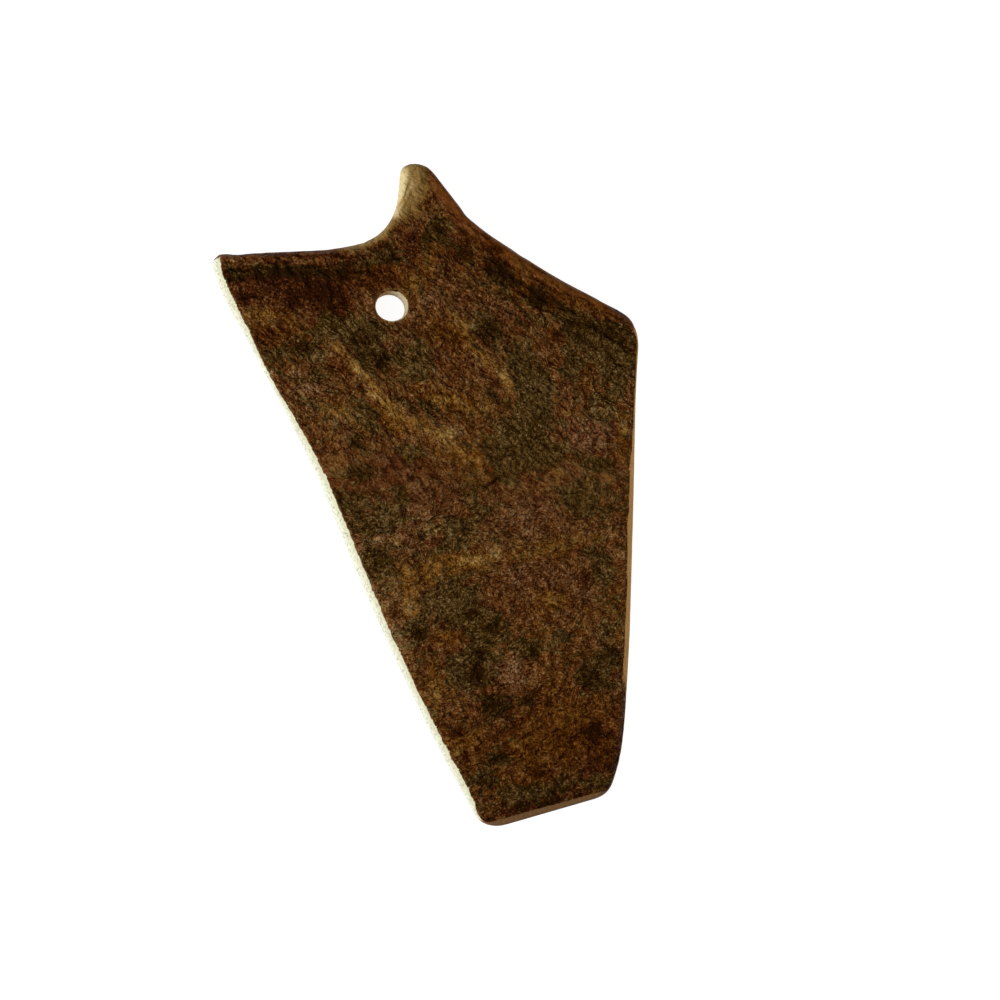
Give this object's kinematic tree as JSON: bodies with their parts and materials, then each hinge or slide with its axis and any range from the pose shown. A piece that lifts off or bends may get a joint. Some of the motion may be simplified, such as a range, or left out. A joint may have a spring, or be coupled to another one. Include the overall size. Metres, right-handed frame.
{
  "type": "fallow deer antler plate",
  "caption": "Flat plate sawn from the palm of a fallow deer antler, with grown top edges, the stub of a point, sawn sides and a drilled cord hole; lies flat on its back.",
  "frame": {"origin": "centre of the plate's box, at the bottom, on the surface that the flat back lies on", "axes": "+Y runs up the plate to the point, +Z out of the worn face, +X to the right seen from the face"},
  "size_m": [0.0857, 0.1329, 0.0074],
  "materials": {
    "antler": "satin dark brown antler bark, rough with fine grain and pale vessel ridges; cream bone on the sawn edges"
  },
  "bodies": {
    "root": {"antler_plate": "antler"}
  },
  "joints": []
}
